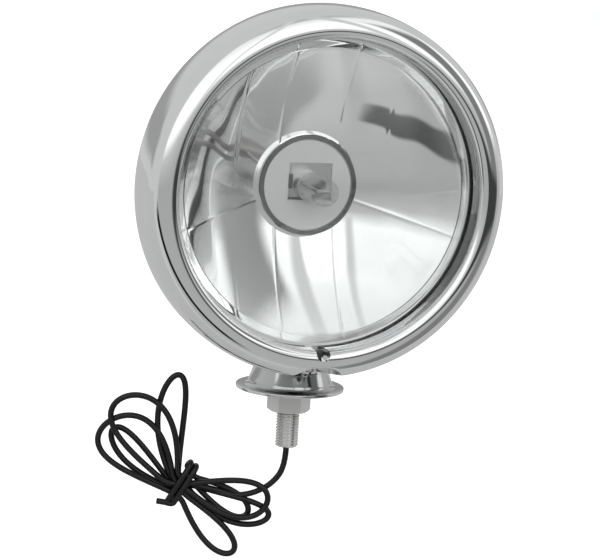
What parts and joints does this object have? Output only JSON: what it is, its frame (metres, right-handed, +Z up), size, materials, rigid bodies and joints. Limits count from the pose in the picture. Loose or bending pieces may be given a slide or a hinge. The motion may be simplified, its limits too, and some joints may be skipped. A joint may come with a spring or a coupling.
{
  "type": "passing lamp",
  "caption": "Round chrome passing lamp with a domed clear lens and faceted reflector, on a bell-shaped foot with a hollow threaded stud; one lead leaves the stud and ends in a loose tied hank.",
  "frame": {"origin": "middle of the foot's seat on the bar, on the stud's axis", "axes": "+Z up along the stud, the lamp faces -Y, +X is to the right of someone who faces the lens"},
  "size_m": [0.1272, 0.0915, 0.1956],
  "materials": {
    "chrome": "polished chrome plate",
    "zinc_steel": "bright zinc",
    "clear_glass": "clear moulded glass",
    "quartz": "clear quartz",
    "bright_reflector": "vacuum-metallised mirror",
    "grey_plate": "matt light grey",
    "bulb_metal": "plain sheet metal",
    "tungsten": "drawn wire",
    "black_rubber": "matt",
    "black_lead": "satin insulation",
    "connector_sleeve": "soft sleeve"
  },
  "bodies": {
    "root": {"rear_shell": "chrome", "trim_ring": "chrome", "mount_skirt": "chrome", "screw_seat": "chrome", "ring_screw": "zinc_steel", "lens": "clear_glass", "lens_gasket": "black_rubber", "reflector": "bright_reflector", "bulb_plate": "grey_plate", "bulb_base": "bulb_metal", "bulb_glass": "quartz", "bulb_filament": "tungsten", "bulb_clip": "zinc_steel", "lead_connector": "connector_sleeve", "bulb_lead": "black_lead", "supply_lead": "black_lead", "hollow_bolt": "zinc_steel", "saddle_washer": "zinc_steel", "lock_washer": "zinc_steel", "hex_nut": "zinc_steel", "bolt_grommet": "black_rubber", "cord_lead": "black_lead", "cord_hank": "black_lead"}
  },
  "joints": []
}
